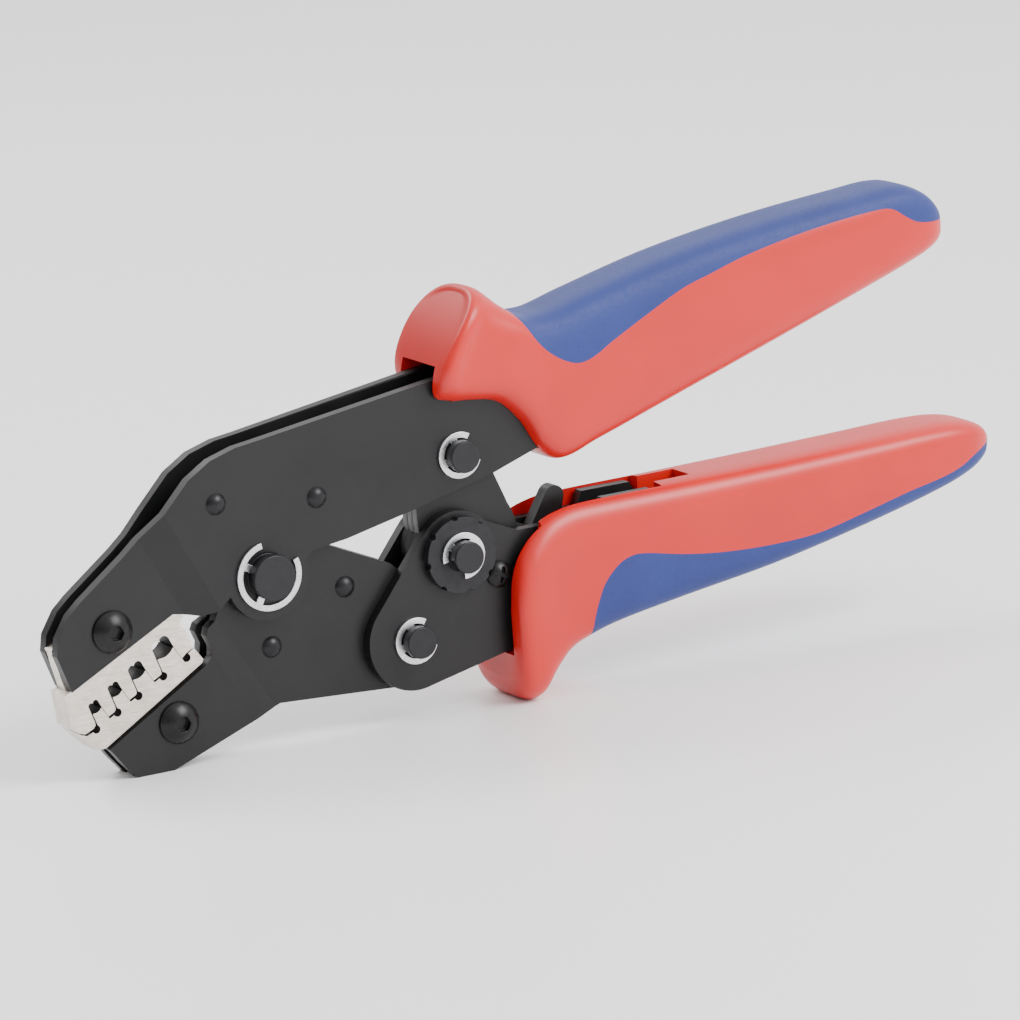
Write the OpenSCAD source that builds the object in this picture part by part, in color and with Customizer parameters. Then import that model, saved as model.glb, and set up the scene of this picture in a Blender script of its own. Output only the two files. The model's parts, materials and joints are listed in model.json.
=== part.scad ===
// Ratchet crimping tool with stamped steel plates, a toggle linkage and two-colour grips.
// X runs from the jaw to the handle ends, Z up, -Y is the side with the adjusting wheel.
// Points are measured from the main pivot; place() then stands the tool on its lowest edge.

/* [Plates] */
// Thickness of each stamped side plate
plate_t = 2.2; // [2:0.05:2.2]
// Inner face of the upper frame plates and of the handle plates, from the middle plane
outer_gap = 3.0; // [3:0.05:3.2]
// Inner face of the lower jaw plates at the pivots, from the middle plane
inner_gap = 0.7; // [0.6:0.05:0.75]
// Inner face of all the plates where they clamp the dies
die_gap = 1.4; // [1.35:0.05:1.5]
// Radius of the plate edge round the main pivot
hub_r = 8; // [7.8:0.1:8.2]
// Angle of the upper die seat to the ground
seat_angle = 27; // [27:0.1:27.2]

/* [Pivots] */
// Diameter of the main pivot pin
main_pin_d = 8.2; // [8:0.1:8.4]
// Diameter of the three linkage pins
link_pin_d = 5.8; // [5.6:0.1:6]
// Radial clearance of a pin in a plate that turns on it
running_fit = 0.05; // [0.02:0.01:0.1]
// Radial clearance of a pin in a plate that holds it still
close_fit = 0.02; // [0.01:0.01:0.05]
// Radius of the toggle link's bore round the adjusting pin, where the loop is open
open_bore_r = 3.7; // [3.6:0.05:4]

/* [Retaining clips] */
// Thickness of a retaining clip
clip_t = 0.7; // [0.6:0.05:0.8]
// Outside diameter of the main pivot's clips
main_clip_d = 12.6; // [12:0.1:13]
// Outside diameter of the linkage clips
link_clip_d = 8.5; // [8.2:0.1:8.8]
// Length of each pin beyond its clip
pin_end = 2.2; // [1:0.1:2.4]

/* [Dies] */
// Half thickness of the dies where they crimp
die_half = 2.9; // [2.7:0.05:3]
// Half thickness of the die tongues between the plates
tongue_half = 1.38; // [1.3:0.01:1.38]
// Opening of the lower jaw at rest, beyond fully closed
jaw_open = 0.45; // [0.42:0.01:0.6]
// Left edge of each anvil along the die, from the main pivot
anvil_u = [-39.6, -35, -30.2, -24.5];
// Width of each anvil
anvil_w = [1.9, 2.1, 2.8, 3.6];
// Height of each heart-shaped crimp nest
nest_h = [1.9, 2.2, 2.6, 3.3];
// Gap between the slanted side of an anvil and the upper die
slit = 0.16; // [0.12:0.01:0.2]
// Gap between the sliding side of an anvil and the upper die
slide_gap = 0.06; // [0.05:0.01:0.08]

/* [Adjusting wheel] */
// Diameter of the adjusting wheel
wheel_d = 13.8; // [13.2:0.1:13.8]
// Thickness of the adjusting wheel
wheel_t = 1.8; // [1.6:0.1:2]
// Number of notches in its rim
wheel_notches = 8; // [6:1:12]

/* [Grips] */
// Half width of the grips along the hand
grip_half = 8.8; // [8.6:0.1:9.2]
// Half width of the collar and of the finger guard
collar_half = 10.5; // [10.2:0.1:10.8]
// Half width of the hard core under the soft inlays
core_half = 6.6; // [6.2:0.1:6.8]
// Points round one cross-section of a grip
grip_sides = 16; // [12:4:20]
// Squareness of the grips' cross-section, from a box at 0 to an ellipse at 1
corner = 0.66; // [0.6:0.02:0.8]

/* [Hidden] */
$fn = 48;
plate_out = outer_gap + plate_t;
jaw_out = inner_gap + plate_t;
die_out = die_gap + plate_t;
main = [0, 0];
jaw_pivot = [27.9, -16.8];
adjust_pivot = [37.6, -2.6];
link_pivot = [39.2, 15.2];
pawl_pivot = [57.4, -4.6];
spring_post = [88, -6.5];
spring_hook = [44.6, -11.5];
wire_r = 0.35;
mouth_half = 7.1;
slot_half = 5.9;
notch_r = 0.65;
lock_screw = [45.5, -7.7];
upper_screw = [-30.1, -5.1];
lower_screw = [-18.8, -23.5];
frame_rivets = [[-9, 14.4], [10.6, 12.3]];
jaw_rivets = [[15.9, -5.25], [0.7, -13.5]];
handle_rivets = [[71, -3.3], [97, -4.5]];
tang_rivets = [[74, 26.5], [98, 34]];
floor_z = -31.9;
centre_x = 55.05;
seat_w = 4.66;
sector_r = 13.8;
die_split = -4.6;
tooth_r = 0.6;
tooth_step = 4.5;
lips_v = -3.45;
pocket_r = 0.75;
steel = "#33343a";
zinc = "#d5d5d8";
red = "#f5473c";
blue = "#4458a8";

// ---- Helpers ----

// Moves main-pivot coordinates to the stored frame: centred in X, lowest edge at Z = 0
module place() {
    translate([-centre_x, 0, -floor_z]) children();
}

// Extrudes an XZ outline between two Y values
module slab(y0, y1) {
    translate([0, y1, 0]) rotate([90, 0, 0]) linear_extrude(y1 - y0) children();
}

// Turns children about the main pivot in the XZ plane, positive lifts the +X side
module turn(angle) {
    rotate([0, -angle, 0]) children();
}

// Keeps children on the back side, or mirrors them to the front side
module on_side(side) {
    if (side < 0) mirror([0, 1, 0]) children();
    else children();
}

// Cylinder along Y from y0 to y1 at an XZ point
module pin(at, r, y0, y1) {
    translate([at[0], y1, at[1]]) rotate([90, 0, 0]) cylinder(r = r, h = y1 - y0);
}

// Index of the table row at or before x
function row(t, x, i = 0) = i >= len(t) - 2 || x < t[i + 1][0] ? i : row(t, x, i + 1);
// Slope of column c at row i
function slope(t, c, i) =
    let(a = max(i - 1, 0), b = min(i + 1, len(t) - 1))
    (t[b][c] - t[a][c]) / (t[b][0] - t[a][0]);
// Smooth value of column c at x
function smooth(t, c, x) =
    let(i = row(t, x), h = t[i + 1][0] - t[i][0], u = (x - t[i][0]) / h)
    let(m0 = slope(t, c, i) * h, m1 = slope(t, c, i + 1) * h)
    (2 * pow(u, 3) - 3 * u * u + 1) * t[i][c] + (pow(u, 3) - 2 * u * u + u) * m0
    + (3 * u * u - 2 * pow(u, 3)) * t[i + 1][c] + (pow(u, 3) - u * u) * m1;
// Signed power, for the rounded-box cross-sections
function spow(v, p) = sign(v) * pow(abs(v), p);
// One cross-section of a grip: a rounded box between bottom and top
function ring(t, x) =
    let(z0 = smooth(t, 1, x), z1 = smooth(t, 2, x), w = smooth(t, 3, x))
    [for (k = [0 : grip_sides - 1])
        let(a = (k + 0.5) * 360 / grip_sides)
        [x, w * spow(cos(a), corner), (z0 + z1) / 2 + (z1 - z0) / 2 * spow(sin(a), corner)]];

// Grip body through the stations xs of table t: [x, bottom, top, half width]
module grip_body(t, xs) {
    n = grip_sides;
    m = len(xs);
    points = [for (x = xs) each ring(t, x)];
    first = [for (k = [0 : n - 1]) k];
    last = [for (k = [n - 1 : -1 : 0]) (m - 1) * n + k];
    sides = [for (i = [0 : m - 2], k = [0 : n - 1])
        let(a = i * n + k, b = i * n + (k + 1) % n)
        each [[a, a + n, b], [b, a + n, b + n]]];
    polyhedron(points = points, faces = concat([first, last], sides));
}

// ---- Plate outlines ----

// Ribbon that gives a plate its joggle: the plate's Y range against distance from the pivot
module joggle(angle, bend0, bend1, far, near) {
    turn(angle) translate([0, 0, -60]) linear_extrude(130) polygon([
        [-80, far], [bend0, far], [bend1, near], [140, near],
        [140, near + plate_t], [bend1, near + plate_t], [bend0, far + plate_t], [-80, far + plate_t]]);
}

module frame_outline() {
    difference() {
        union() {
            circle(r = hub_r);
            polygon([[-18.2, -4.05], [-15.4, -4.6], [-13, -5.2], [-10, -4.8], [-7.6, -2.6], [0, -6],
                [9, 3], [16, 3.9], [30, 6.9], [46, 10.8], [55.5, 14], [62, 16.8], [108, 34], [108, 41],
                [60, 33.2], [36.5, 29.6], [0, 24.3], [-4.5, 23.7], [-9.5, 22.2], [-14, 19.4],
                [-19, 14.2], [-26.5, 7.9], [-35.5, 1.2], [-38, -1], [-40.4, -4.8], [-40.9, -7.8],
                [-38.6, -14.45]]);
        }
        circle(d = main_pin_d + 2 * close_fit);
        translate(link_pivot) circle(d = link_pin_d + 2 * close_fit);
        for (p = concat(frame_rivets, tang_rivets)) translate(p) circle(d = 3);
        translate(upper_screw) circle(d = 4.2);
    }
}

module jaw_outline() {
    difference() {
        union() {
            circle(r = hub_r);
            translate(jaw_pivot) circle(r = 8.6);
            polygon([[-32.4, -25.95], [-31.6, -26.9], [-30.2, -28.8], [-27.6, -31.9], [-20.3, -31.9],
                [-9, -27.7], [1.5, -23.9], [6, -24.1], [27, -25.4], [35.2, -12.3], [33.2, -10],
                [25.2, -2.6], [13.5, 2.7], [5, 6], [-6, 5], [-7.6, -2], [-10, -6.9], [-11.6, -7.9],
                [-12.1, -9.2], [-11.2, -11.4], [-11.4, -13], [-12.6, -14.25]]);
        }
        circle(d = main_pin_d + 2 * running_fit);
        translate(jaw_pivot) circle(d = link_pin_d + 2 * running_fit);
        for (p = jaw_rivets) translate(p) circle(d = 3);
        translate(lower_screw) circle(d = 4.2);
    }
}

module handle_outline() {
    difference() {
        union() {
            translate(jaw_pivot) circle(r = 9.15);
            translate(adjust_pivot) circle(r = 7.8);
            polygon([[22, -23.5], [29.5, -25.8], [40, -23.5], [46.5, -22], [60, -16.5], [104, -7.6],
                [104, 0.2], [79, -0.1], [77.8, 2.4], [67.8, 2.4], [66.6, -0.2], [50, -0.4],
                [43.6, 2.4], [37.6, 5.2], [31.2, 1.9], [20.2, -11.8]]);
        }
        translate(jaw_pivot) circle(d = link_pin_d + 2 * close_fit);
        translate(adjust_pivot) circle(d = link_pin_d + 2 * running_fit);
        translate(pawl_pivot) circle(d = 3);
        translate(spring_post) circle(d = 3);
        translate(lock_screw) circle(d = 3);
        for (p = handle_rivets) translate(p) circle(d = 3);
    }
}

// Toggle link: a boss round each pin, a straight front edge and a toothed sector at the back
module link_outline(hooked) {
    difference() {
        union() {
            translate(link_pivot) circle(r = 7.2);
            translate(adjust_pivot) circle(r = 7.6);
            polygon([[37, -4], [48, -1], [50.8, 0.9], [49.2, 5.2], [46.4, 12], [32.4, 13], [31.2, 7],
                [31.4, 0]]);
            intersection() {
                translate(adjust_pivot) circle(r = sector_r);
                translate(adjust_pivot) polygon([[0, 0], [8, -16], [20, -16], [20, 14]]);
            }
        }
        for (a = [-43 : tooth_step : 7]) {
            translate(adjust_pivot + sector_r * [cos(a), sin(a)])
                rotate(a + 45) square(0.8, center = true);
        }
        translate(link_pivot) circle(d = link_pin_d + 2 * running_fit);
        translate(adjust_pivot + [0, -0.15]) circle(r = open_bore_r);
        translate(spring_hook) circle(r = hooked ? 4 : 0.8);
    }
}

// ---- Upper frame ----

module frame_plate(side) {
    color(steel) place() on_side(side) intersection() {
        slab(0, 8) frame_outline();
        joggle(seat_angle, -16.4, -10.6, die_gap, outer_gap);
    }
}

// Height of anvil k's corners above the die frame's axis
function anvil_top(k) = -1 + 0.16 * k;
// Slanted left side of anvil k at height v
function anvil_side(k, v) = anvil_u[k] - 0.1 - 0.13 * (anvil_top(k) - v);
// Radius of the two lobes of nest k, and how deep its anvil is hollowed
function lobe_r(k) = 0.28 * anvil_w[k];
function anvil_dip(k) = 0.13 * anvil_w[k];

// Room of anvil k up to a height, with gaps on its slanted side and on the side that slides
module anvil_area(k, top, gap_a = 0, gap_b = 0) {
    right = anvil_u[k] + anvil_w[k] + 0.4;
    difference() {
        polygon([[anvil_side(k, top) - gap_a, top], [anvil_side(k, die_split) - gap_a, die_split],
            [right, die_split], [right, top]]);
        circle(r = -anvil_u[k] - anvil_w[k] - gap_b, $fn = 96);
    }
}

// Anvil k, its top hollowed to the foot of the crimp
module anvil(k) {
    dip_r = 0.84 * anvil_w[k];
    difference() {
        anvil_area(k, anvil_top(k));
        translate([anvil_u[k] + anvil_w[k] / 2 - 0.05, anvil_top(k) + dip_r - anvil_dip(k)])
            circle(r = dip_r, $fn = 64);
    }
}

// Slot for anvil k in the upper die, which ends in the two lobes of its crimp nest
module nest(k) {
    r = lobe_r(k);
    v = anvil_top(k) + nest_h[k] - anvil_dip(k) - r;
    anvil_area(k, v, slit, slide_gap);
    translate([anvil_side(k, v) - slit + r, v]) circle(r = r, $fn = 32);
    translate([anvil_u[k] + anvil_w[k] + slide_gap - r, v]) circle(r = r, $fn = 32);
}

// Rounds the corner of the tooth to the left of anvil k
module tooth_round(k) {
    translate([anvil_side(k, lips_v) - slit - tooth_r, lips_v - 0.2]) difference() {
        square(tooth_r + 0.2);
        translate([0, tooth_r + 0.2]) circle(r = tooth_r, $fn = 32);
    }
}

module upper_die_face() {
    difference() {
        polygon([[-42.3, seat_w], [-44.4, -1.15], [-43.6, -2.6], [-42.7, lips_v], [-41.7, -3.55],
            [-20.4, -3.3], [-19.6, -3.1], [-17.9, -2.95], [-17.35, 0.6], [-17.95, 1.7], [-17.3, 2.6],
            [-16.4, 2.9], [-17.2, seat_w - 0.4], [-18.2, seat_w]]);
        for (k = [0 : 3]) {
            nest(k);
            tooth_round(k);
        }
    }
}

module upper_die() {
    color(zinc) place() turn(seat_angle) difference() {
        union() {
            slab(-die_half, die_half) upper_die_face();
            slab(-tongue_half, tongue_half) polygon([[-41.4, seat_w - 0.5], [-39.6, 12.4],
                [-20.5, 12.4], [-18.6, seat_w - 0.5]]);
        }
        turn(-seat_angle) pin(upper_screw, 2.1, -5, 5);
    }
}

// Button head screw through one plate, a die tongue and the nut's plate
module die_screw(at) {
    color(steel) place() {
        difference() {
            union() {
                pin(at, 2, -die_out - 0.2, die_out + 2.2);
                translate([at[0], -die_out, at[1]]) rotate([90, 0, 0]) intersection() {
                    cylinder(d = 7.6, h = 2.2);
                    translate([0, 0, -2.7]) sphere(r = 4.9);
                }
            }
            translate([at[0], -die_out - 0.9, at[1]]) rotate([90, 0, 0])
                cylinder(d = 2.9, h = 2, $fn = 6);
        }
    }
}

// Hexagon nut on the back plate
module die_nut(at) {
    color(steel) place() translate([at[0], die_out, at[1]]) rotate([-90, 0, 0]) difference() {
        cylinder(d = 8.08, h = 2.2, $fn = 6);
        translate([0, 0, -1]) cylinder(r = 2 + close_fit, h = 5);
    }
}

// Spacer tubes riveted between two plates, with a domed head on each side
module spacers(points, gap, out) {
    color(steel) place() for (p = points) {
        pin(p, 1.5, -out - 0.2, out + 0.2);
        if (gap > 0) pin(p, 2.6, -gap, gap);
        for (s = [-1, 1]) translate([p[0], s * out, p[1]]) rotate([s * -90, 0, 0]) intersection() {
            cylinder(r = 1.95, h = 1.2);
            translate([0, 0, -1.3]) sphere(r = 2.35);
        }
    }
}

// Pin with a groove near each end for a retaining clip
module grooved_pin(at, d, out_front, out_back) {
    difference() {
        pin(at, d / 2, -out_front - clip_t - pin_end, out_back + clip_t + pin_end);
        for (y = [-out_front - clip_t - 0.02, out_back - 0.02]) {
            translate([at[0], y, at[1]]) rotate([-90, 0, 0]) difference() {
                cylinder(d = d + 2, h = clip_t + 0.04);
                translate([0, 0, -1]) cylinder(d = d * 0.8, h = 3);
            }
        }
    }
}

// Retaining clip seated in a pin's groove, its mouth turned to an angle
module clip(at, d, pin_d, y0, mouth) {
    half_mouth = 0.8 * d;
    groove_r = pin_d * 0.4 + close_fit;
    translate([at[0], y0 + clip_t, at[1]]) rotate([90, 0, 0]) linear_extrude(clip_t)
    rotate(mouth) difference() {
        circle(d = d);
        difference() {
            circle(d = d - 2.3);
            for (a = [90, 180, 270]) rotate(a) translate([0, -0.7]) square([d, 1.4]);
        }
        circle(r = groove_r);
        polygon([[0, 0], [d, -half_mouth], [d, half_mouth]]);
    }
}

module clip_pair(at, d, pin_d, out_front, out_back, mouth) {
    color(zinc) place() {
        clip(at, d, pin_d, -out_front - clip_t, mouth);
        clip(at, d, pin_d, out_back, mouth);
    }
}

module main_pin() {
    color(steel) place() grooved_pin(main, main_pin_d, plate_out, plate_out);
}

module main_pin_clips() {
    clip_pair(main, main_clip_d, main_pin_d, plate_out, plate_out, 62);
}

module link_pin() {
    color(steel) place() grooved_pin(link_pivot, link_pin_d, plate_out, plate_out);
}

module link_pin_clips() {
    clip_pair(link_pivot, link_clip_d, link_pin_d, plate_out, plate_out, 20);
}

// Plain pins across the side plates, each with a spacer tube between them
module cross_pins(points, tube_r) {
    color(steel) place() for (p = points) {
        pin(p, 1.5 - close_fit, -plate_out, plate_out);
        if (tube_r > 0) pin(p, tube_r, -outer_gap, outer_gap);
    }
}

// ---- Grips ----

// Upper grip: position along X, bottom, top, half width
upper_table = [[35.6, 30.5, 38, 6.5], [36.2, 27.2, 40.2, 8.9], [38, 25.2, 42.8, 10],
    [42, 24.4, 44.3, collar_half], [46, 24.2, 43.4, 10.3], [50, 21.6, 40.4, 9.6],
    [53, 17.6, 38.5, 9.1], [55.5, 12.9, 37.9, grip_half], [59.5, 10.9, 38.1, grip_half],
    [67, 13, 40.1, grip_half], [85, 18.8, 44.3, grip_half], [105, 25.3, 47.4, grip_half],
    [125, 31.9, 49.4, 8.5], [134, 34.9, 49.9, 8.1], [139, 36.7, 47.9, 7.2], [142, 38.3, 45, 5.2],
    [143.2, 40, 42.6, 2.6]];
upper_stations = [35.6, 36.2, 38, 40, 42, 44, 46, 48, 50, 53, 55.5, 59.5, 67, 76, 85, 95, 105, 115,
    125, 134, 139, 142, 143.2];

// Lower grip: position along X, bottom, top, half width
lower_table = [[46.5, -27.4, -13, 8.2], [47, -29.5, -8.6, 9.6], [48.2, -31.2, -5, 10.4],
    [50.2, -31.9, -2, collar_half], [52.4, -31, 0, 10.1], [55, -27.7, 1.5, 9.5],
    [58, -24.7, 2.4, 9], [61, -23.1, 2.9, grip_half], [68, -21, 3.1, grip_half],
    [82, -18.7, 3.2, grip_half], [102, -15.8, 3.5, grip_half], [122, -11.9, 4, 8.5], [138, -8.1, 4.4, 8.1],
    [145, -5.9, 3.9, 7.3], [149, -3.9, 2.4, 5.4], [151, -1.8, 0.6, 2.8]];
lower_stations = [46.5, 47, 48.2, 50.2, 52.4, 55, 58, 61, 64.5, 68, 76, 84, 93, 102, 112, 122, 131, 138, 145,
    149, 151];

// Blue areas, as outlines in the side view
module upper_inlay_area() {
    polygon([[49, 60], [49.6, 40.2], [52, 37.5], [54.5, 34], [57, 31.5], [60, 29.5], [63, 28.6],
        [66, 29.3], [70, 31.5], [77, 35], [85, 38.7], [91, 40.5], [98, 42.5], [108, 44.5],
        [118, 45.9], [128, 46.7], [130.5, 46.2], [133, 44.5], [135.5, 43.2], [145, 42.5],
        [150, 60]]);
}

module lower_inlay_area() {
    polygon([[155, -40], [155, 1], [146, -1.7], [142, -3.8], [138, -5], [130, -6.5],
        [120, -8.8], [110, -10.8], [100, -11.2], [90, -10.8], [82, -9.8], [75, -8.5], [72, -8],
        [69.5, -8.5], [67.5, -10], [65, -12.5], [63.5, -16], [62.3, -20.5], [62.3, -40]]);
}

// Hard core under each inlay
module upper_core() {
    slab(-core_half, core_half) polygon([[60, 14], [120, 32], [139, 38], [138, 44], [134, 46.6],
        [125, 46], [105, 44.2], [90, 41.8], [72, 38.4], [60, 34.8], [54, 34.6], [45, 34]]);
}

module lower_core() {
    slab(-core_half, core_half) polygon([[58, -18.6], [68, -17.2], [82, -15.2], [102, -12.4],
        [122, -8.8], [138, -5.2], [144, -3.4], [144, 0], [58, -4]]);
}

// Hollow of the upper grip: the plates' tang, the slot mouth at the collar and the link's sweep
module upper_hollow() {
    slab(-plate_out - 0.12, plate_out + 0.12) polygon([[46, 10.4], [55.5, 13.7], [62, 16.5],
        [108.4, 33.7], [108.4, 41.3], [60, 33.4], [36.5, 29.8], [20, 27.5], [20, 0]]);
    slab(-6.1, 6.1) polygon([[43, 28], [43, 31], [41.5, 32.6], [30, 31.4], [30, 20]]);
}

// Hollow of the lower grip: the plates' tang, the long slot in the top face and the wider mouth
module lower_hollow() {
    slab(-plate_out - 0.12, plate_out + 0.12)
        polygon([[40, -23.9], [46.5, -22.3], [60, -16.8], [104.3, -7.9],
        [104.3, 0.5], [50, -0.1], [43.6, 2.9], [30, 2]]);
    slab(-outer_gap - 0.1, outer_gap + 0.1)
        polygon([[40, -23], [46.5, -22], [60, -16.8], [87, -4], [87, 8],
        [40, 8]]);
    slab(-mouth_half, mouth_half)
        polygon([[40, -24.3], [48.5, -22.2], [50, -10], [51.6, -5.5], [53.5, -2.5], [55, 8], [40, 8]]);
    slab(-slot_half, slot_half) polygon([[50, -3], [79.5, -3], [79.5, 8], [50, 8]]);
}

module upper_grip() {
    color(red) place() difference() {
        grip_body(upper_table, upper_stations);
        difference() {
            slab(-20, 20) upper_inlay_area();
            upper_core();
        }
        upper_hollow();
    }
}

module upper_grip_inlay() {
    color(blue) place() difference() {
        intersection() {
            grip_body(upper_table, upper_stations);
            slab(-20, 20) upper_inlay_area();
        }
        upper_core();
    }
}

module lower_grip() {
    color(red) place() difference() {
        grip_body(lower_table, lower_stations);
        difference() {
            slab(-20, 20) lower_inlay_area();
            lower_core();
        }
        lower_hollow();
    }
}

module lower_grip_inlay() {
    color(blue) place() difference() {
        intersection() {
            grip_body(lower_table, lower_stations);
            slab(-20, 20) lower_inlay_area();
        }
        lower_core();
    }
}

// ---- Lower jaw ----

module jaw_plate(side) {
    color(steel) place() on_side(side) intersection() {
        slab(0, 8) jaw_outline();
        joggle(30.3, -15.8, -11.8, die_gap, inner_gap);
    }
}

module lower_die_face() {
    difference() {
        union() {
            polygon([[-42.6, -6.9], [-40.9, -7.75], [-18, -6.35], [-17.4, -5.9], [-17.8, -3.1],
                [-19.6, -3.25], [-20.4, -3.5], [-41.7, -3.72], [-42.65, -3.62], [-43.5, -2.8],
                [-44.3, -1.35]]);
            for (k = [0 : 3]) anvil(k);
        }
        // Pockets under the teeth of the upper die
        for (u = concat([-40.6], [for (k = [0 : 2]) anvil_u[k + 1] - pocket_r], [-19.9])) {
            translate([u, lips_v - 0.25]) circle(r = pocket_r, $fn = 32);
        }
    }
}

module lower_die() {
    color(zinc) place() difference() {
        union() {
            turn(seat_angle + jaw_open) slab(-die_half, die_half) lower_die_face();
            slab(-tongue_half, tongue_half) polygon([[-30, -27.4], [-25.4, -29.9], [-15.9, -27.6],
                [-11.9, -17.6], [-14.2, -13.7], [-33.2, -24.9]]);
        }
        pin(lower_screw, 2.1, -5, 5);
    }
}

// ---- Toggle link ----

// One of the link's three layers; the middle one is cut back round the spring's hook
module toggle_link_layer(y0, y1, hooked) {
    color(steel) place() slab(y0, y1) link_outline(hooked);
}

module spring_hook_pin() {
    color(steel) place() pin(spring_hook, 0.8 - close_fit, -2.9, 2.9);
}

// ---- Lower handle ----

module handle_plate(side) {
    color(steel) place() on_side(side) slab(outer_gap, plate_out) handle_outline();
}

module jaw_pin() {
    color(steel) place() grooved_pin(jaw_pivot, link_pin_d, plate_out, plate_out);
}

module jaw_pin_clips() {
    clip_pair(jaw_pivot, link_clip_d, link_pin_d, plate_out, plate_out, 20);
}

module locking_screw() {
    color(steel) place() difference() {
        union() {
            pin(lock_screw, 1.48, -plate_out - 0.2, -outer_gap);
            translate([lock_screw[0], -plate_out, lock_screw[1]]) rotate([90, 0, 0]) intersection() {
                cylinder(d = 4.8, h = 1.7);
                translate([0, 0, -1.4]) sphere(r = 3.1);
            }
        }
        for (a = [20, 110]) translate([lock_screw[0], -plate_out - 1.4, lock_screw[1]])
            rotate([0, a, 0]) cube([3, 1.2, 0.75], center = true);
    }
}

// Extension spring from the link's hook pin to its post: a coil tube, two legs and two eyes
module return_spring() {
    run = spring_post - spring_hook;
    length = norm(run);
    eye = [1.25, 1.95];
    color(zinc) place() translate([spring_hook[0], 0, spring_hook[1]])
        rotate([0, 90 - atan2(run[1], run[0]), 0]) {
            translate([0, 0, 12.5]) difference() {
                cylinder(r = 2, h = length - 19);
                translate([0, 0, 0.6]) cylinder(r = 1.3, h = length - 20.2);
            }
            translate([0, 0, eye[0]]) cylinder(r = wire_r, h = 12 - eye[0] + 0.8);
            translate([0, 0, length - 7]) cylinder(r = wire_r, h = 7 - eye[1]);
            for (k = [0, 1]) translate([0, 0, k * length]) rotate([90, 0, 0])
                rotate_extrude() translate([eye[k], 0]) circle(r = wire_r, $fn = 16);
        }
}

// Torsion spring round the pawl's pin, beside the pawl
module pawl_spring() {
    color(zinc) place() difference() {
        pin(pawl_pivot, 2.3, 1.5, outer_gap - 0.1);
        pin(pawl_pivot, 1.6, 1, 4);
    }
}

module adjusting_wheel() {
    color(steel) place() difference() {
        pin(adjust_pivot, wheel_d / 2, -plate_out - wheel_t, -plate_out - 0.03);
        pin(adjust_pivot, link_pin_d / 2 + close_fit, -12, 0);
        for (k = [0 : wheel_notches - 1]) {
            a = k * 360 / wheel_notches + 8;
            pin(adjust_pivot + (wheel_d / 2 + 0.2) * [cos(a), sin(a)], notch_r, -12, 0);
        }
    }
}

module adjusting_pin() {
    color(steel) place() grooved_pin(adjust_pivot, link_pin_d, plate_out + wheel_t, plate_out);
}

module adjusting_pin_clips() {
    clip_pair(adjust_pivot, link_clip_d, link_pin_d, plate_out + wheel_t, plate_out, -130);
}

// Pawl with its tip at the toothed sector and a thumb lever above the grip
module release_pawl() {
    color(steel) place() slab(-1.4, 1.4) difference() {
        union() {
            translate(pawl_pivot) circle(r = 2.9);
            polygon([[54.4, -6], [57, -7.2], [56.4, -2], [53, -0.6], [51.85, -2.6]]);
            polygon([[60.3, -3.2], [61.8, 3.4], [58.3, 4.7], [54.6, -1.4]]);
            translate([59.9, 3.6]) circle(r = 1.9);
        }
        translate(pawl_pivot) circle(r = 1.5 + running_fit);
    }
}

// ---- Assembly ----

frame_plate(-1);  // frame_plate_front
frame_plate(1);  // frame_plate_back
upper_die();
die_screw(upper_screw);  // upper_die_screw
die_nut(upper_screw);  // upper_die_nut
spacers(frame_rivets, outer_gap, plate_out);  // frame_spacers
main_pin();
main_pin_clips();
link_pin();
link_pin_clips();
upper_grip();
upper_grip_inlay();
cross_pins(tang_rivets, 2.6);  // tang_spacers
jaw_plate(-1);  // jaw_plate_front
jaw_plate(1);  // jaw_plate_back
lower_die();
die_screw(lower_screw);  // lower_die_screw
die_nut(lower_screw);  // lower_die_nut
spacers(jaw_rivets, inner_gap, jaw_out);  // jaw_spacers
toggle_link_layer(-2.9, -1, false);  // toggle_link_front
toggle_link_layer(-0.97, 0.97, true);  // toggle_link_middle
toggle_link_layer(1, 2.9, false);  // toggle_link_back
spring_hook_pin();
handle_plate(-1);  // handle_plate_front
handle_plate(1);  // handle_plate_back
jaw_pin();
jaw_pin_clips();
lower_grip();
lower_grip_inlay();
cross_pins(handle_rivets, 2.6);  // handle_spacers
cross_pins([pawl_pivot], 0);  // pawl_pin
cross_pins([spring_post], 0);  // spring_post_pin
locking_screw();
return_spring();
pawl_spring();
adjusting_pin();
adjusting_pin_clips();
adjusting_wheel();
release_pawl();
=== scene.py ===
"""A ratchet crimping tool: black stamped plates, nickel dies, a toggle linkage and two-colour grips."""

import json
import math

import bmesh
import bpy
from mathutils import Matrix, Vector


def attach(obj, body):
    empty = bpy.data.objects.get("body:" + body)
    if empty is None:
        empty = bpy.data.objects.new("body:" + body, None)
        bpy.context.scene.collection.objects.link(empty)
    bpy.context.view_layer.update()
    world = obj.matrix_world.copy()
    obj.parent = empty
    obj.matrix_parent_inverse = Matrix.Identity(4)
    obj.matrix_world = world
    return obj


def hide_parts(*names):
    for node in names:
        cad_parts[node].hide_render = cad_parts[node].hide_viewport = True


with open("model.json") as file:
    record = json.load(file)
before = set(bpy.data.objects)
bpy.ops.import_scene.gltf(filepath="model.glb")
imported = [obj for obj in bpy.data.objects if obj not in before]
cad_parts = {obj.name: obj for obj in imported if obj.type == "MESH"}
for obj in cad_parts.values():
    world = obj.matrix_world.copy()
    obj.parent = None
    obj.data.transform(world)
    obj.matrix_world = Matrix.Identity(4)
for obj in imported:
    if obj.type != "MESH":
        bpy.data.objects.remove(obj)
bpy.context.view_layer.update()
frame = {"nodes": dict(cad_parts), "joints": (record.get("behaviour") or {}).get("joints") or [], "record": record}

MM = 0.001
# CAD vertices nearer than this are one, and so are the points where a grip's skin closes
CAD_WELD = 0.002 * MM
SKIN_WELD = 0.0005 * MM


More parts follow.
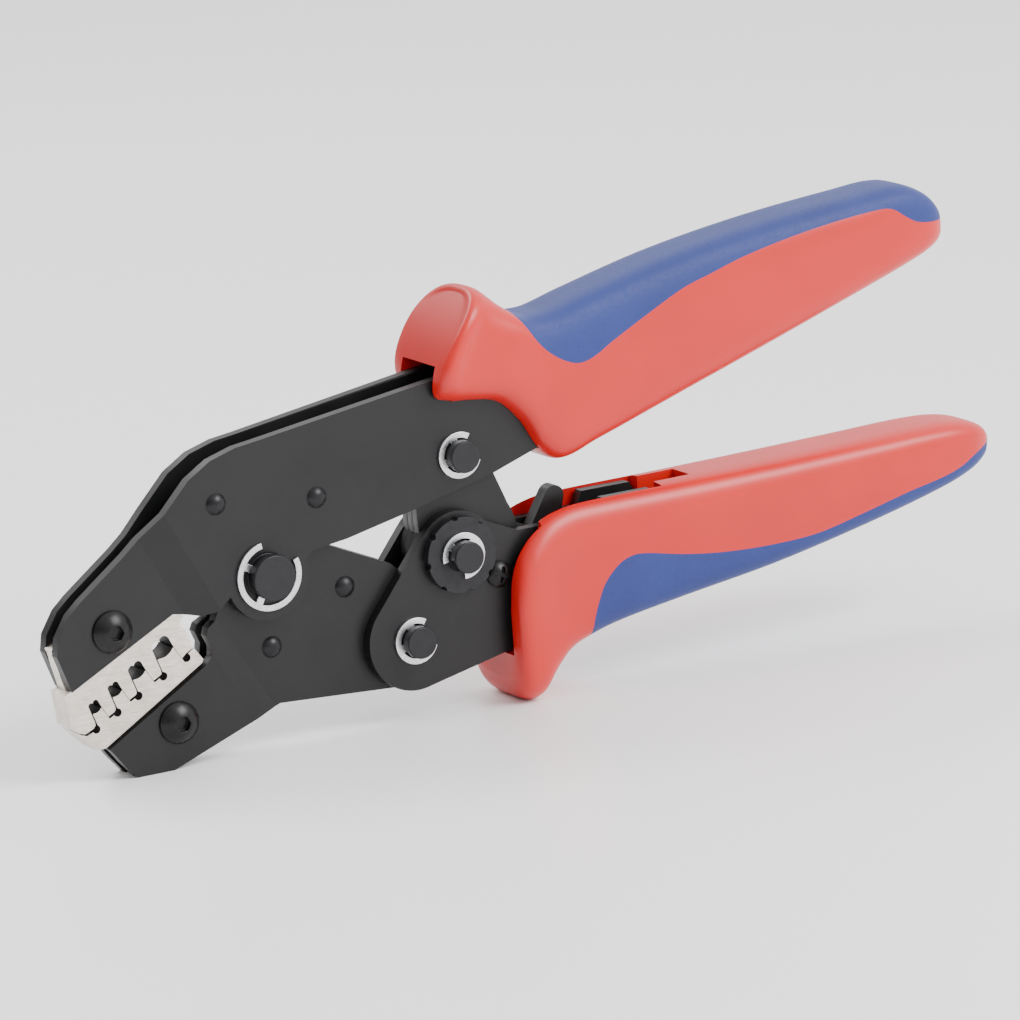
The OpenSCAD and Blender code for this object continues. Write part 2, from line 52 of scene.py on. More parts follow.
# ---- Places: millimetres from the main pivot, turned to metres in the frame ----

def joint_point(name):
    """A point on the axis of a joint."""
    joint = next(j for j in frame["joints"] if j["name"] == name)
    return Vector(joint["pos_m"])


PIVOT = joint_point("jaw_hinge")


def at(x, z, y=0.0):
    """A point from its distances to the main pivot: along the tool, up, and back from the middle plane."""
    return PIVOT + Vector((x, y, z)) * MM


JAW_PIN = joint_point("handle_hinge")
LINK_PIN = joint_point("link_hinge")
WHEEL = joint_point("wheel_hinge")
PAWL = joint_point("pawl_hinge")
SPRING_HOOK = at(44.6, -11.5)
SPRING_POST = at(88, -6.5)
# The dies lie along a line that falls by this much towards the tip
DIE_ANGLE = math.radians(27)
# Nests and slits lie within these distances from the pivot, along that line and square to it
NEST_ALONG = (-41.9, -18.8)
NEST_ACROSS = (-5.6, 3.2)


# ---- Camera: long lens, a little above the tool, turned to its left ----

CAMERA_PLACE = at(-504.8, 276.2, -1059.5)
CAMERA_AZIMUTH, CAMERA_ELEVATION, CAMERA_ROLL = -27.7, 12.9, 4.1  # degrees
CAMERA_LENS = 241.4
CAMERA_SENSOR = 36
CAMERA_SEES = (0.05, 20)  # nearest and farthest, in metres


def make_camera():
    """Aims the camera by its three angles, because its roll leaves no level axis to track with."""
    azimuth, elevation, roll = map(math.radians, (CAMERA_AZIMUTH, CAMERA_ELEVATION, CAMERA_ROLL))
    back = Vector((math.sin(azimuth) * math.cos(elevation), -math.cos(azimuth) * math.cos(elevation),
                   math.sin(elevation)))
    right = (-back).cross(Vector((0, 0, 1))).normalized()
    up = back.cross(right)
    turned_right = right * math.cos(roll) - up * math.sin(roll)
    turned_up = right * math.sin(roll) + up * math.cos(roll)
    data = bpy.data.cameras.new("camera")
    data.sensor_width = CAMERA_SENSOR
    data.lens = CAMERA_LENS
    data.clip_start, data.clip_end = CAMERA_SEES
    camera = bpy.data.objects.new("camera", data)
    bpy.context.collection.objects.link(camera)
    turn = Matrix((turned_right, turned_up, back)).transposed()
    camera.matrix_world = Matrix.Translation(CAMERA_PLACE) @ turn.to_4x4()
    bpy.context.scene.camera = camera


make_camera()


# ---- Materials ----

def hex_colour(code):
    """sRGB hex to the linear values that the shaders take."""
    values = [int(code[i:i + 2], 16) / 255 for i in (1, 3, 5)]
    linear = [v / 12.92 if v <= 0.04045 else ((v + 0.055) / 1.055) ** 2.4 for v in values]
    return (*linear, 1)


def add(tree, kind, settings=None, **links):
    """Adds a node. Settings that name a socket set it, others set the node; links are socket=source."""
    made = tree.nodes.new(kind)
    for key, value in (settings or {}).items():
        if hasattr(made, key):
            setattr(made, key, value)
        else:
            made.inputs[key].default_value = value
    for key, source in links.items():
        socket = made.inputs[int(key[1:])] if key[0] == "_" else made.inputs[key.replace("_", " ")]
        tree.links.new(source, socket)
    return made


def material(name, **values):
    """A new material with its shader's uniform values set on the shader itself."""
    made = bpy.data.materials.new(name)
    made.use_nodes = True
    tree = made.node_tree
    shader = tree.nodes["Principled BSDF"]
    for key, value in values.items():
        shader.inputs[key.replace("_", " ")].default_value = value
    place = add(tree, "ShaderNodeTexCoord").outputs["Object"]
    return made, tree, shader, place


def per_metre(millimetres):
    """Noise scale whose features are about this size."""
    return 1 / (millimetres * MM)


def ramp(tree, source, low, high):
    """Colour between two hex values, as source goes from 0 to 1."""
    mix = add(tree, "ShaderNodeMix", {"data_type": "RGBA"})
    mix.inputs["A"].default_value = hex_colour(low)
    mix.inputs["B"].default_value = hex_colour(high)
    tree.links.new(source, mix.inputs["Factor"])
    return next(o for o in mix.outputs if o.type == "RGBA")


def spread(tree, source, from_low, from_high, to_low, to_high):
    """Source stretched from one range to another, and held at its ends."""
    made = add(tree, "ShaderNodeMapRange", {"From Min": from_low, "From Max": from_high,
                                           "To Min": to_low, "To Max": to_high})
    tree.links.new(source, made.inputs["Value"])
    return made.outputs["Result"]


def black_oxide_plate():
    """Stamped steel, blackened and oiled: satin, with the faint mottle of the bath and rolled grain."""
    made, tree, shader, place = material("black_oxide_stamped_steel", Metallic=0.35)
    mottle = add(tree, "ShaderNodeTexNoise", {"Scale": per_metre(9), "Detail": 4.0, "Roughness": 0.6},
                 Vector=place)
    grain = add(tree, "ShaderNodeTexNoise", {"Scale": per_metre(0.35), "Detail": 3.0}, Vector=place)
    colour = ramp(tree, spread(tree, mottle.outputs["Fac"], 0.3, 0.7, 0, 1), "#141415", "#1b1b1d")
    tree.links.new(colour, shader.inputs["Base Color"])
    tree.links.new(spread(tree, mottle.outputs["Fac"], 0.3, 0.7, 0.36, 0.44), shader.inputs["Roughness"])
    bump = add(tree, "ShaderNodeBump", {"Strength": 0.12, "Distance": 0.00004}, Height=grain.outputs["Fac"])
    tree.links.new(bump.outputs["Normal"], shader.inputs["Normal"])
    return made


def blackened_steel(name, dark, light, rough):
    """Turned or headed steel, blackened: smoother than the plates, so it holds small highlights."""
    made, tree, shader, place = material(name, Metallic=0.5)
    mottle = add(tree, "ShaderNodeTexNoise", {"Scale": per_metre(1.6), "Detail": 5.0}, Vector=place)
    tone = spread(tree, mottle.outputs["Fac"], 0.3, 0.7, 0, 1)
    tree.links.new(ramp(tree, tone, dark, light), shader.inputs["Base Color"])
    tree.links.new(spread(tree, mottle.outputs["Fac"], 0.3, 0.7, rough - 0.06, rough + 0.06),
                   shader.inputs["Roughness"])
    bump = add(tree, "ShaderNodeBump", {"Strength": 0.15, "Distance": 0.00003},
               Height=mottle.outputs["Fac"])
    tree.links.new(bump.outputs["Normal"], shader.inputs["Normal"])
    return made


# Feed marks are 0.05 mm apart on the real pins; 0.3 mm is as fine as shows
FEED_MARK = 0.3 * MM


def turned_end(name, centre):
    """Blackened pin whose end was faced on a lathe: fine rings round its own axis."""
    made, tree, shader, place = material(name, Metallic=0.5)
    moved = add(tree, "ShaderNodeMapping", {"vector_type": "POINT"}, Vector=place)
    moved.inputs["Location"].default_value = -centre
    apart = add(tree, "ShaderNodeSeparateXYZ", Vector=moved.outputs["Vector"])
    flat = add(tree, "ShaderNodeCombineXYZ", X=apart.outputs["X"], Y=apart.outputs["Z"])
    radius = add(tree, "ShaderNodeVectorMath", {"operation": "LENGTH"}, _0=flat.outputs["Vector"])
    rings = add(tree, "ShaderNodeMath", {"operation": "MULTIPLY"}, _0=radius.outputs["Value"])
    rings.inputs[1].default_value = 2 * math.pi / FEED_MARK
    wave = add(tree, "ShaderNodeMath", {"operation": "SINE"}, _0=rings.outputs["Value"])
    mottle = add(tree, "ShaderNodeTexNoise", {"Scale": per_metre(2), "Detail": 4.0}, Vector=place)
    tree.links.new(ramp(tree, mottle.outputs["Fac"], "#1b1b1d", "#29292d"), shader.inputs["Base Color"])
    tree.links.new(spread(tree, mottle.outputs["Fac"], 0.3, 0.7, 0.34, 0.46), shader.inputs["Roughness"])
    bump = add(tree, "ShaderNodeBump", {"Strength": 0.2, "Distance": 0.00002}, Height=wave.outputs["Value"])
    tree.links.new(bump.outputs["Normal"], shader.inputs["Normal"])
    return made


def plated_steel(name, dark, light, rough, stretch, angle=0.0):
    """Bright plated steel with fine lines from grinding or rolling along one direction."""
    made, tree, shader, place = material(name, Metallic=1.0)
    turned = add(tree, "ShaderNodeMapping", Vector=place)
    turned.inputs["Rotation"].default_value = (0, angle, 0)
    turned.inputs["Scale"].default_value = stretch
    lines = add(tree, "ShaderNodeTexNoise", {"Scale": per_metre(0.25), "Detail": 3.0},
                Vector=turned.outputs["Vector"])
    mottle = add(tree, "ShaderNodeTexNoise", {"Scale": per_metre(3), "Detail": 4.0}, Vector=place)
    both = add(tree, "ShaderNodeMath", {"operation": "MULTIPLY"}, _0=lines.outputs["Fac"],
               _1=mottle.outputs["Fac"])
    tone = spread(tree, both.outputs["Value"], 0.12, 0.4, 0, 1)
    tree.links.new(ramp(tree, tone, dark, light), shader.inputs["Base Color"])
    tree.links.new(spread(tree, mottle.outputs["Fac"], 0.3, 0.7, rough - 0.07, rough + 0.07),
                   shader.inputs["Roughness"])
    bump = add(tree, "ShaderNodeBump", {"Strength": 0.15, "Distance": 0.00002}, Height=lines.outputs["Fac"])
    tree.links.new(bump.outputs["Normal"], shader.inputs["Normal"])
    return made


def moulded_red():
    """Injection-moulded polypropylene, semi-gloss, with the mould's fine spark-eroded texture."""
    made, tree, shader, place = material("moulded_polypropylene_red", IOR=1.49, Coat_Weight=0.12,
                                         Coat_Roughness=0.25, Subsurface_Weight=0.04)
    shader.inputs["Subsurface Radius"].default_value = (0.0012, 0.0003, 0.0002)
    flow = add(tree, "ShaderNodeTexNoise", {"Scale": per_metre(18), "Detail": 2.0}, Vector=place)
    erode = add(tree, "ShaderNodeTexNoise", {"Scale": per_metre(0.3), "Detail": 3.0}, Vector=place)
    colour = ramp(tree, spread(tree, flow.outputs["Fac"], 0.3, 0.7, 0, 1), "#c30c07", "#cd110a")
    tree.links.new(colour, shader.inputs["Base Color"])
    tree.links.new(spread(tree, erode.outputs["Fac"], 0.3, 0.7, 0.34, 0.42), shader.inputs["Roughness"])
    bump = add(tree, "ShaderNodeBump", {"Strength": 0.08, "Distance": 0.00005}, Height=erode.outputs["Fac"])
    tree.links.new(bump.outputs["Normal"], shader.inputs["Normal"])
    return made


def soft_blue():
    """Thermoplastic rubber moulded over the hard grip: matte, with a grained, slightly velvety skin."""
    made, tree, shader, place = material("overmoulded_rubber_blue", IOR=1.5, Sheen_Weight=0.08,
                                         Sheen_Roughness=0.4)
    grain = add(tree, "ShaderNodeTexVoronoi", {"Scale": per_metre(0.55), "feature": "SMOOTH_F1"},
                Vector=place)
    shade = add(tree, "ShaderNodeTexNoise", {"Scale": per_metre(12), "Detail": 3.0}, Vector=place)
    colour = ramp(tree, spread(tree, shade.outputs["Fac"], 0.3, 0.7, 0, 1), "#1b2c6e", "#203277")
    tree.links.new(colour, shader.inputs["Base Color"])
    tree.links.new(spread(tree, grain.outputs["Distance"], 0, 0.8, 0.56, 0.68), shader.inputs["Roughness"])
    bump = add(tree, "ShaderNodeBump", {"Strength": 0.22, "Distance": 0.00006},
               Height=grain.outputs["Distance"])
    tree.links.new(bump.outputs["Normal"], shader.inputs["Normal"])
    return made


PLATE = black_oxide_plate()
SCREW = blackened_steel("black_oxide_screw_steel", "#0d0d0e", "#171719", 0.3)
RIVET = blackened_steel("black_oxide_rivet_steel", "#141416", "#1e1e21", 0.34)
WHEEL_STEEL = blackened_steel("black_oxide_wheel_steel", "#1d1d20", "#28282b", 0.42)
DIE = plated_steel("ground_nickel_plated_tool_steel", "#c9c0b6", "#eee6dc", 0.36, (0.12, 1, 1), -DIE_ANGLE)
# Dark steel painted on the nest and slit walls as painted shade, where the real walls are bright metal in shadow
NEST = blackened_steel("painted_shade_nest_walls", "#1a1715", "#2a2523", 0.5)
CLIP = plated_steel("zinc_plated_spring_steel", "#b9babd", "#ededee", 0.3, (1, 1, 1))
WIRE = plated_steel("bright_spring_wire", "#8d8f93", "#c4c6c9", 0.28, (1, 1, 1))
RED = moulded_red()
BLUE = soft_blue()


# ---- Pieces ----

def finish_piece(name, mesh, look, node, body):
    """Links a mesh as a piece that stands for a CAD node and rides on its body."""
    mesh.materials.clear()
    mesh.materials.append(look)
    piece = bpy.data.objects.new(name, mesh)
    bpy.context.collection.objects.link(piece)
    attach(piece, body)
    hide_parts(node)
    return piece


def body_of_node(node):
    """The body that a CAD node rides on."""
    return next(b for b, nodes in frame["record"]["behaviour"]["bodies"].items() if node in nodes)


def eased(node, look, width, segments=3, sharp=30):
    """A copy of a CAD node with its edges broken, as tumbling and plating leave them."""
    bm = bmesh.new()
    bm.from_mesh(frame["nodes"][node].data)
    bmesh.ops.remove_doubles(bm, verts=bm.verts, dist=CAD_WELD)
    bmesh.ops.dissolve_limit(bm, angle_limit=math.radians(1), verts=bm.verts, edges=bm.edges)
    mesh = bpy.data.meshes.new("eased_" + node)
    bm.to_mesh(mesh)
    bm.free()
    piece = finish_piece("eased_" + node, mesh, look, node, body_of_node(node))
    bevel = piece.modifiers.new("edge", "BEVEL")
    bevel.width = width * MM
    bevel.segments = segments
    bevel.limit_method = "ANGLE"
    bevel.angle_limit = math.radians(sharp)
    bevel.use_clamp_overlap = True
    bevel.harden_normals = True
    for polygon in mesh.polygons:
        polygon.use_smooth = True
    mesh.set_sharp_from_angle(angle=math.radians(sharp))
    return piece


def paint_nest_shade(mesh):
    """Painted shade: the walls of the nests and slits get a dark material for the shade deep in them; only the
    faces keep the bright die steel.
    """
    mesh.materials.append(NEST)
    for polygon in mesh.polygons:
        if abs(polygon.normal.y) > 0.5:
            continue
        offset = (polygon.center - PIVOT) / MM
        along = offset.x * math.cos(DIE_ANGLE) + offset.z * math.sin(DIE_ANGLE)
        across = offset.z * math.cos(DIE_ANGLE) - offset.x * math.sin(DIE_ANGLE)
        if NEST_ALONG[0] < along < NEST_ALONG[1] and NEST_ACROSS[0] < across < NEST_ACROSS[1]:
            polygon.material_index = 1


for plate in ("frame_plate_front", "frame_plate_back", "jaw_plate_front", "jaw_plate_back",
              "handle_plate_front", "handle_plate_back"):
    eased(plate, PLATE, 0.3)
for layer in ("toggle_link_front", "toggle_link_middle", "toggle_link_back"):
    eased(layer, PLATE, 0.15, 2)
for die in ("upper_die", "lower_die"):
    piece = eased(die, DIE, 0.08, 2)
    # Painted shade on the walls of the nests and slits
    paint_nest_shade(piece.data)
for fastener in ("upper_die_screw", "lower_die_screw"):
    eased(fastener, SCREW, 0.12, 2, 35)
eased("locking_screw", SCREW, 0.05, 2, 35)
for fastener in ("upper_die_nut", "lower_die_nut"):
    eased(fastener, SCREW, 0.2, 2)
for clip in ("main_pin_clips", "link_pin_clips", "jaw_pin_clips", "adjusting_pin_clips"):
    eased(clip, CLIP, 0.12, 2)
for pin, centre in (("main_pin", PIVOT), ("link_pin", LINK_PIN), ("jaw_pin", JAW_PIN),
                    ("adjusting_pin", WHEEL)):
    eased(pin, turned_end("faced_" + pin, centre), 0.3)
for inner in ("frame_spacers", "jaw_spacers", "tang_spacers", "handle_spacers", "pawl_pin",
              "spring_post_pin", "spring_hook_pin"):
    eased(inner, RIVET, 0.15, 2)
eased("adjusting_wheel", WHEEL_STEEL, 0.2)
eased("release_pawl", PLATE, 0.3)


# ---- Springs ----

def wire(name, points, radius, node):
    """Round wire along the points, as a mesh."""
    data = bpy.data.curves.new(name, "CURVE")
    data.dimensions = "3D"
    data.bevel_depth = radius * MM
    data.bevel_resolution = 3
    data.use_fill_caps = True
    spline = data.splines.new("POLY")
    spline.points.add(len(points) - 1)
    for point, place in zip(spline.points, points):
        point.co = (*place, 1)
    curve = bpy.data.objects.new(name + "_curve", data)
    bpy.context.collection.objects.link(curve)
    bpy.context.view_layer.update()
    mesh = bpy.data.meshes.new_from_object(curve.evaluated_get(bpy.context.evaluated_depsgraph_get()))
    mesh.name = name
    bpy.data.objects.remove(curve)
    for polygon in mesh.polygons:
        polygon.use_smooth = True
    return finish_piece(name, mesh, WIRE, node, body_of_node(node))


# Return spring: wire, coil and eye radii, the coils' pitch, and how far they stop from each eye's centre
RETURN_WIRE_R = 0.33
RETURN_COIL_R = 1.65
RETURN_PITCH = 0.74
HOOK_EYE_R, HOOK_SHANK = 1.25, 12.5
POST_EYE_R, POST_SHANK = 1.95, 7
EYE_TURN = [math.radians(a) for a in range(-150, 151, 15)]
# Pawl spring: wire and coil radii, pitch, turns, and where the first turn lies behind the middle plane
PAWL_WIRE_R = 0.17
PAWL_COIL_R = 1.95
PAWL_PITCH = 0.38
PAWL_TURNS = 3
PAWL_COIL_Y = 1.75


def return_spring():
    """Extension spring: an eye round the hook pin, close coils, and an eye round the post."""
    run = SPRING_POST - SPRING_HOOK
    length = run.length / MM
    along = run.normalized()
    across = Vector((0, 1, 0))
    up = along.cross(across)
    steps = 16

    def place(s, a, b):
        return SPRING_HOOK + (along * s + across * a + up * b) * MM

    points = [place(HOOK_EYE_R * math.cos(t), 0, HOOK_EYE_R * math.sin(t)) for t in EYE_TURN][::-1]
    points.append(place(3, 0, 0))
    turns = (length - POST_SHANK - HOOK_SHANK) / RETURN_PITCH
    for k in range(int(turns * steps) + 1):
        angle = 2 * math.pi * k / steps
        points.append(place(HOOK_SHANK + RETURN_PITCH * k / steps, RETURN_COIL_R * math.cos(angle),
                            RETURN_COIL_R * math.sin(angle)))
    points.append(place(length - 5, 0, 0))
    points += [place(length - POST_EYE_R * math.cos(t), 0, POST_EYE_R * math.sin(t)) for t in EYE_TURN]
    return wire("wound_return_spring", points, RETURN_WIRE_R, "return_spring")


def pawl_spring():
    """Small torsion spring: a few turns round the pawl's pin."""
    steps = 20
    points = []
    for k in range(PAWL_TURNS * steps + 1):
        angle = 2 * math.pi * k / steps
        offset = Vector((PAWL_COIL_R * math.cos(angle), PAWL_COIL_Y + PAWL_PITCH * k / steps,
                         PAWL_COIL_R * math.sin(angle)))
        points.append(PAWL + offset * MM)
    return wire("wound_pawl_spring", points, PAWL_WIRE_R, "pawl_spring")


return_spring()
pawl_spring()


# ---- Grips ----

class Grip:
    """A grip's outer form: rounded-box cross-sections along X, leaning and bowed near the collar.

    A row is one cross-section: its X, how far its top leans to +X, how far its middle bows to -X, its
    lowest and highest Z, its half width, and how square it is, from 1 for an ellipse to 0 for a box.
    """

    def __init__(self, rows):
        self.rows = rows

    def section(self, x):
        """Every column but the first, between the rows."""
        return [smooth(self.rows, column, x) for column in range(1, 7)]

    def point(self, x, angle, inset=0.0, flat=1.0):
        """Angle 0 is the back side (+Y), 90 degrees the top; flat draws the ring in to the middle plane."""
        lean, bow, low, high, width, power = self.section(x)
        c, s = math.cos(angle), math.sin(angle)
        up = math.copysign(abs(s) ** power, s)
        out = math.copysign(abs(c) ** power, c)
        return at(x + lean * up - bow * (1 - up * up), (low + high) / 2 + ((high - low) / 2 - inset) * up,
                  (width - inset) * out * flat)


def smooth(rows, column, x):
    """Hermite curve through the rows, which start with x."""
    last = len(rows) - 1
    i = max(k for k in range(last) if k == 0 or rows[k][0] <= x)
    span = rows[i + 1][0] - rows[i][0]
    u = (x - rows[i][0]) / span

    def slope(k):
        a, b = max(k - 1, 0), min(k + 1, last)
        return (rows[b][column] - rows[a][column]) / (rows[b][0] - rows[a][0]) * span

    return ((2 * u ** 3 - 3 * u * u + 1) * rows[i][column] + (u ** 3 - 2 * u * u + u) * slope(i)
            + (3 * u * u - 2 * u ** 3) * rows[i + 1][column] + (u ** 3 - u * u) * slope(i + 1))


# Points round each cross-section
AROUND = 128
# A skin's ends are drawn in to the middle plane in these steps
END_STEPS = (0.0, 0.25, 0.5, 0.75)
# A rounded front edge is a quarter turn in these steps
EDGE_TURN = [math.radians(15 * k) for k in range(7)]
# Half widths of the block that cuts out an inlay and of the hard core that it leaves
AREA_HALF = 20
CORE_HALF = 6.6


def skin(name, grip, rings):
    """A closed skin through rings of (x, inset, flat); the first and last ring lie in the middle plane."""
    bm = bmesh.new()
    bmesh.ops.create_grid(bm, x_segments=len(rings) - 1, y_segments=AROUND, size=1)
    for vert in bm.verts:
        i = round((vert.co.x + 1) / 2 * (len(rings) - 1))
        j = round((vert.co.y + 1) / 2 * AROUND) % AROUND
        x, inset, flat = rings[i]
        vert.co = grip.point(x, (j + 0.5) * 2 * math.pi / AROUND, inset, flat)
    bmesh.ops.remove_doubles(bm, verts=bm.verts, dist=SKIN_WELD)
    bmesh.ops.recalc_face_normals(bm, faces=bm.faces)
    mesh = bpy.data.meshes.new(name)
    bm.to_mesh(mesh)
    bm.free()
    return mesh


def stations(spans):
    """X positions: each span is (start, end, spacing)."""
    xs = []
    for start, end, spacing in spans:
        count = max(1, round((end - start) / spacing))
        xs += [start + (end - start) * k / count for k in range(count)]
    return xs + [spans[-1][1]]


def rings(spans, rounding=0.0):
    """Rings at the stations, with a rounded front edge and both ends drawn in to the middle plane."""
    xs = stations(spans)
    front = [(xs[0], rounding, flat) for flat in END_STEPS]
    if rounding:
        for turn in EDGE_TURN:
            front.append((xs[0] + rounding * (1 - math.cos(turn)), rounding * (1 - math.sin(turn)), 1.0))
        xs = [x for x in xs if x > xs[0] + rounding + 0.05]
    return front + [(x, 0.0, 1.0) for x in xs] + [(xs[-1], 0.0, flat) for flat in reversed(END_STEPS)]


def prism(name, outline, half):
    """A closed block from an outline in X and Z, reaching half to each side."""
    bm = bmesh.new()
    verts = [bm.verts.new(at(x, z, -half)) for x, z in outline]
    face = bm.faces.new(verts)
    moved = bmesh.ops.extrude_face_region(bm, geom=[face])["geom"]
    bmesh.ops.translate(bm, verts=[v for v in moved if isinstance(v, bmesh.types.BMVert)],
                        vec=(0, 2 * half * MM, 0))
    bmesh.ops.recalc_face_normals(bm, faces=bm.faces)
    mesh = bpy.data.meshes.new(name)
    bm.to_mesh(mesh)
    bm.free()
    return mesh


def boolean(mesh, steps):
    """The mesh after each (operation, cutter) in turn."""
    body = bpy.data.objects.new("body", mesh)
    bpy.context.collection.objects.link(body)
    made = [body]
    for operation, cutter in steps:
        tool = bpy.data.objects.new(cutter.name, cutter)
        bpy.context.collection.objects.link(tool)
        modifier = body.modifiers.new("step", "BOOLEAN")
        modifier.operation = operation
        modifier.solver = "EXACT"
        modifier.object = tool
        made.append(tool)
    bpy.context.view_layer.update()
    result = bpy.data.meshes.new_from_object(body.evaluated_get(bpy.context.evaluated_depsgraph_get()))
    for thing in made:
        bpy.data.objects.remove(thing)
    return result


def seam_area(rows, far):
    """Side view of a soft inlay: the seam line, closed far outside the grip."""
    xs = stations([(rows[0][0], rows[-1][0], 0.5)])
    line = [(x, smooth(rows, 1, x)) for x in xs]
    return [(xs[0], far), *line, (xs[-1], far)]


# The outer forms, the seams between hard and soft, the hard cores under the inlays, and the rooms inside
UPPER = Grip([(39.1, 4.6, 2.4, 25.3, 44.6, 10.4, 0.72), (41.4, 4.6, 2.4, 24.9, 44.1, 10.5, 0.7),
              (43, 4.5, 2.2, 24.6, 42.9, 9.6, 0.62), (46, 3.6, 1.4, 24.4, 40.9, 9.3, 0.55),
              (50, 2.4, 0.6, 23.3, 38.9, 9.2, 0.5), (53, 1.2, 0.2, 19.2, 38.1, 9, 0.48),
              (55.5, 0.4, 0, 13.7, 37.9, 8.8, 0.46), (59.5, 0, 0, 10.9, 38.1, 8.8, 0.46),
              (67, 0, 0, 13, 40.1, 8.8, 0.46), (85, 0, 0, 18.8, 44.3, 8.8, 0.46),
              (105, 0, 0, 25.3, 47.4, 8.8, 0.46), (125, 0, 0, 31.9, 49.4, 8.5, 0.48),
              (134, 0, 0, 34.9, 49.9, 8.1, 0.5), (139, 0, 0, 36.7, 47.9, 7.2, 0.55),
              (142, 0, 0, 38.3, 45, 5.2, 0.6), (143.2, 0, 0, 40, 42.6, 2.6, 0.7)])
LOWER = Grip([(46.5, 0, 0, -27.4, -13, 8.2, 0.55), (47, 0, 0, -29.5, -8.6, 9.6, 0.52),
              (48.2, 0, 0, -31.2, -5, 10.4, 0.5), (50.2, 0, 0, -31.9, -2, 10.5, 0.5),
              (52.4, 0, 0, -31, 0, 10.1, 0.47), (55, 0, 0, -27.7, 1.5, 9.5, 0.44),
              (58, 0, 0, -24.7, 2.4, 9, 0.42), (61, 0, 0, -23.1, 2.9, 8.8, 0.42),
              (68, 0, 0, -21, 3.1, 8.8, 0.42), (82, 0, 0, -18.7, 3.2, 8.8, 0.42),
              (102, 0, 0, -15.8, 3.5, 8.8, 0.42), (122, 0, 0, -11.9, 4, 8.5, 0.44),
              (138, 0, 0, -8.1, 4.4, 8.1, 0.47), (145, 0, 0, -5.9, 3.9, 7.3, 0.52),
              (149, 0, 0, -3.9, 2.4, 5.4, 0.6), (151, 0, 0, -1.8, 0.6, 2.8, 0.7)])
UPPER_SEAM = [(50.8, 40.4), (52.6, 37.4), (54.7, 34), (57, 31.5), (60, 29.5), (63, 28.6), (66, 29.3),
              (70, 31.5), (77, 35), (85, 38.7), (91, 40.5), (98, 42.5), (108, 44.5), (118, 45.9),
              (128, 46.7), (130.5, 46.2), (133, 44.5), (135.5, 43.2), (140, 42.6), (150, 42.4)]
LOWER_SEAM = [(62.2, -24), (62.6, -19), (63.6, -15.5), (65, -12.5), (67.5, -9.8), (70, -8.4), (73, -8.1),
              (82, -9.8), (90, -10.8), (100, -11.2), (110, -10.8), (120, -8.8), (130, -6.5),
              (138, -5), (142, -3.8), (146, -1.9), (156, 1.5)]
UPPER_CORE = [(60, 14), (120, 32), (139, 38), (138, 43.4), (134, 45.4), (125, 46), (105, 44.2),
              (90, 41.8), (72, 38.4), (60, 34.8), (54, 34.6), (45, 34)]
LOWER_CORE = [(58, -18.6), (68, -17.2), (82, -15.2), (102, -12.4), (122, -8.8), (138, -5.2), (144, -3.4),
              (144, 0), (58, -4)]
UPPER_HOLLOW = [
    ("tang_room", [(46, 10.4), (55.5, 13.7), (62, 16.5), (108.4, 33.7), (108.4, 41.3), (60, 33.4),
                   (36.5, 29.8), (20, 27.5), (20, 0)], 5.32),
    ("mouth", [(43, 28), (43, 31), (41.5, 32.6), (30, 31.4), (30, 20)], 6.1)]
LOWER_HOLLOW = [
    ("tang_room", [(40, -23.9), (46.5, -22.3), (60, -16.8), (104.3, -7.9), (104.3, 0.5), (50, -0.1),
                   (43.6, 2.9), (30, 2)], 5.32),
    ("link_room", [(40, -23), (46.5, -22), (60, -16.8), (87, -4), (87, 8), (40, 8)], 3.1),
    ("mouth", [(40, -24.3), (48.5, -22.2), (50, -10), (51.6, -5.5), (53.5, -2.5), (55, 8), (40, 8)], 7.1),
    ("plate_slot", [(50, -3), (79.5, -3), (79.5, 8), (50, 8)], 5.9)]


def make_grip(name, body, ring_list, area, core, hollows):
    """The hard grip and its soft inlay, which meet flush along the seam."""
    def block(label, outline, half):
        return prism(name + "_" + label, outline, half)

    inlay_room = boolean(block("area", area, AREA_HALF), [("DIFFERENCE", block("core", core, CORE_HALF))])
    whole = skin(name + "_shell", body, ring_list)
    red = boolean(whole.copy(), [("DIFFERENCE", inlay_room)]
                  + [("DIFFERENCE", block(*hollow)) for hollow in hollows])
    blue = boolean(whole.copy(), [("INTERSECT", inlay_room.copy())])
    for mesh, look, node in ((red, RED, name), (blue, BLUE, name + "_inlay")):
        for polygon in mesh.polygons:
            polygon.use_smooth = True
        mesh.set_sharp_from_angle(angle=math.radians(38))
        finish_piece(node + "_moulding", mesh, look, node, body_of_node(node))


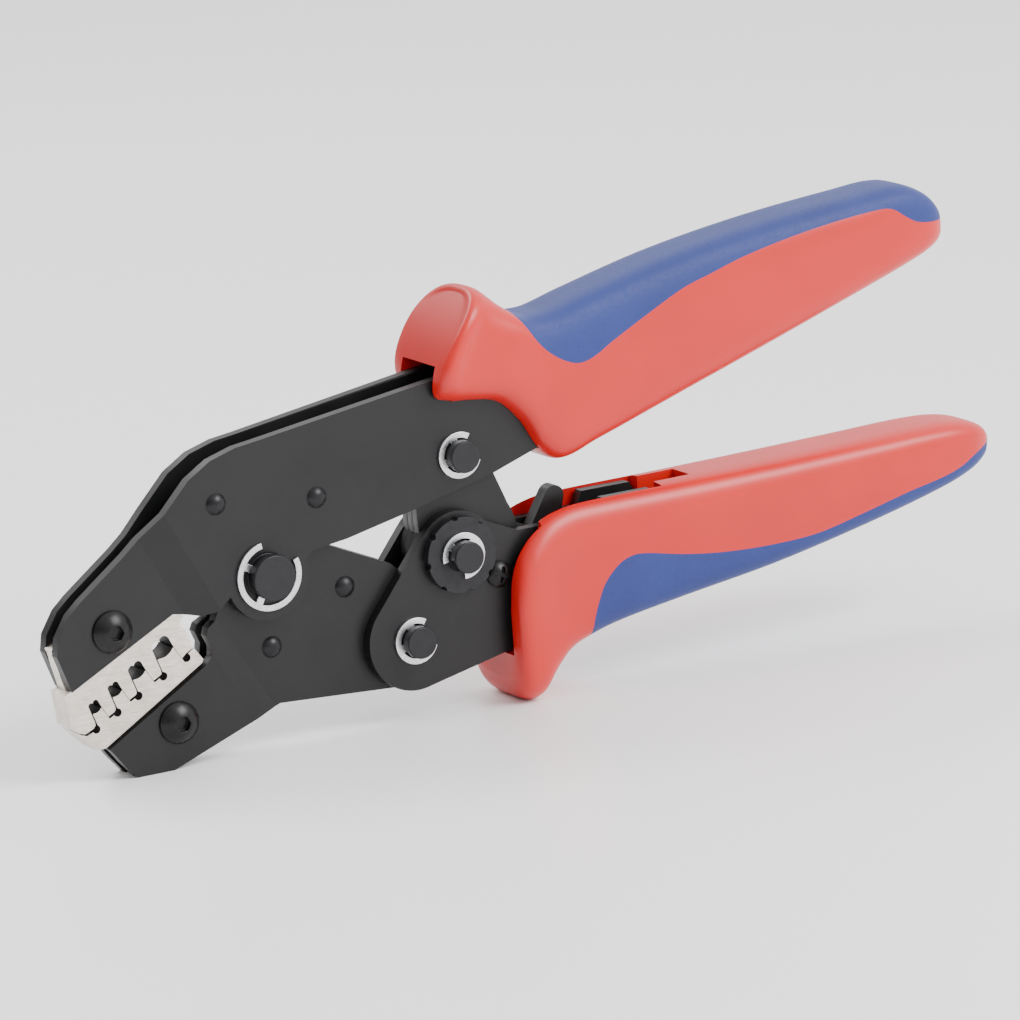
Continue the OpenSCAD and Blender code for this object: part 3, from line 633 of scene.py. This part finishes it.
UPPER_RINGS = rings([(39.1, 48, 0.45), (48, 64, 0.4), (64, 134, 1), (134, 143.2, 0.3)], 1.3)
LOWER_RINGS = rings([(46.5, 47, 0.08), (47, 50, 0.2), (50, 62, 0.4), (62, 138, 1), (138, 151, 0.3)])
make_grip("upper_grip", UPPER, UPPER_RINGS, seam_area(UPPER_SEAM, 70), UPPER_CORE, UPPER_HOLLOW)
make_grip("lower_grip", LOWER, LOWER_RINGS, seam_area(LOWER_SEAM, -60), LOWER_CORE, LOWER_HOLLOW)


# ---- Floor and lights ----

def area_light(name, place, size, power):
    """A rectangular light that faces the main pivot."""
    data = bpy.data.lights.new(name, "AREA")
    data.shape = "RECTANGLE"
    data.size, data.size_y = size
    data.energy = power
    light = bpy.data.objects.new(name, data)
    bpy.context.collection.objects.link(light)
    light.location = place
    light.rotation_euler = (PIVOT - Vector(place)).to_track_quat("-Z", "Y").to_euler()


def make_floor():
    """A satin white board, 6 m square, under the tool."""
    bm = bmesh.new()
    bmesh.ops.create_grid(bm, x_segments=1, y_segments=1, size=3)
    mesh = bpy.data.meshes.new("floor")
    bm.to_mesh(mesh)
    bm.free()
    made, tree, shader, place = material("satin_white_board", Roughness=0.3, IOR=1.3)
    noise = add(tree, "ShaderNodeTexNoise", {"Scale": 3.0}, Vector=place)
    tree.links.new(ramp(tree, noise.outputs["Fac"], "#fbfbfb", "#fdfdfd"), shader.inputs["Base Color"])
    mesh.materials.append(made)
    floor = bpy.data.objects.new("floor", mesh)
    bpy.context.collection.objects.link(floor)


def make_world():
    """A white room: bright from the upper right, dimmer on the left, so bends and edges shade."""
    world = bpy.data.worlds.new("studio")
    bpy.context.scene.world = world
    world.use_nodes = True
    tree = world.node_tree
    direction = add(tree, "ShaderNodeTexCoord").outputs["Generated"]
    side = add(tree, "ShaderNodeVectorMath", {"operation": "DOT_PRODUCT"}, _0=direction)
    side.inputs[1].default_value = (0.8, -0.25, 0.55)
    strength = spread(tree, side.outputs["Value"], -0.75, 0.85, 0.3, 1.9)
    background = tree.nodes["Background"]
    background.inputs["Color"].default_value = (1, 1, 1, 1)
    tree.links.new(strength, background.inputs["Strength"])


make_floor()
make_world()
area_light("key", (0.45, -0.7, 0.75), (0.6, 0.5), 12)
area_light("rim", (-0.3, 0.6, 0.7), (0.8, 0.3), 5)
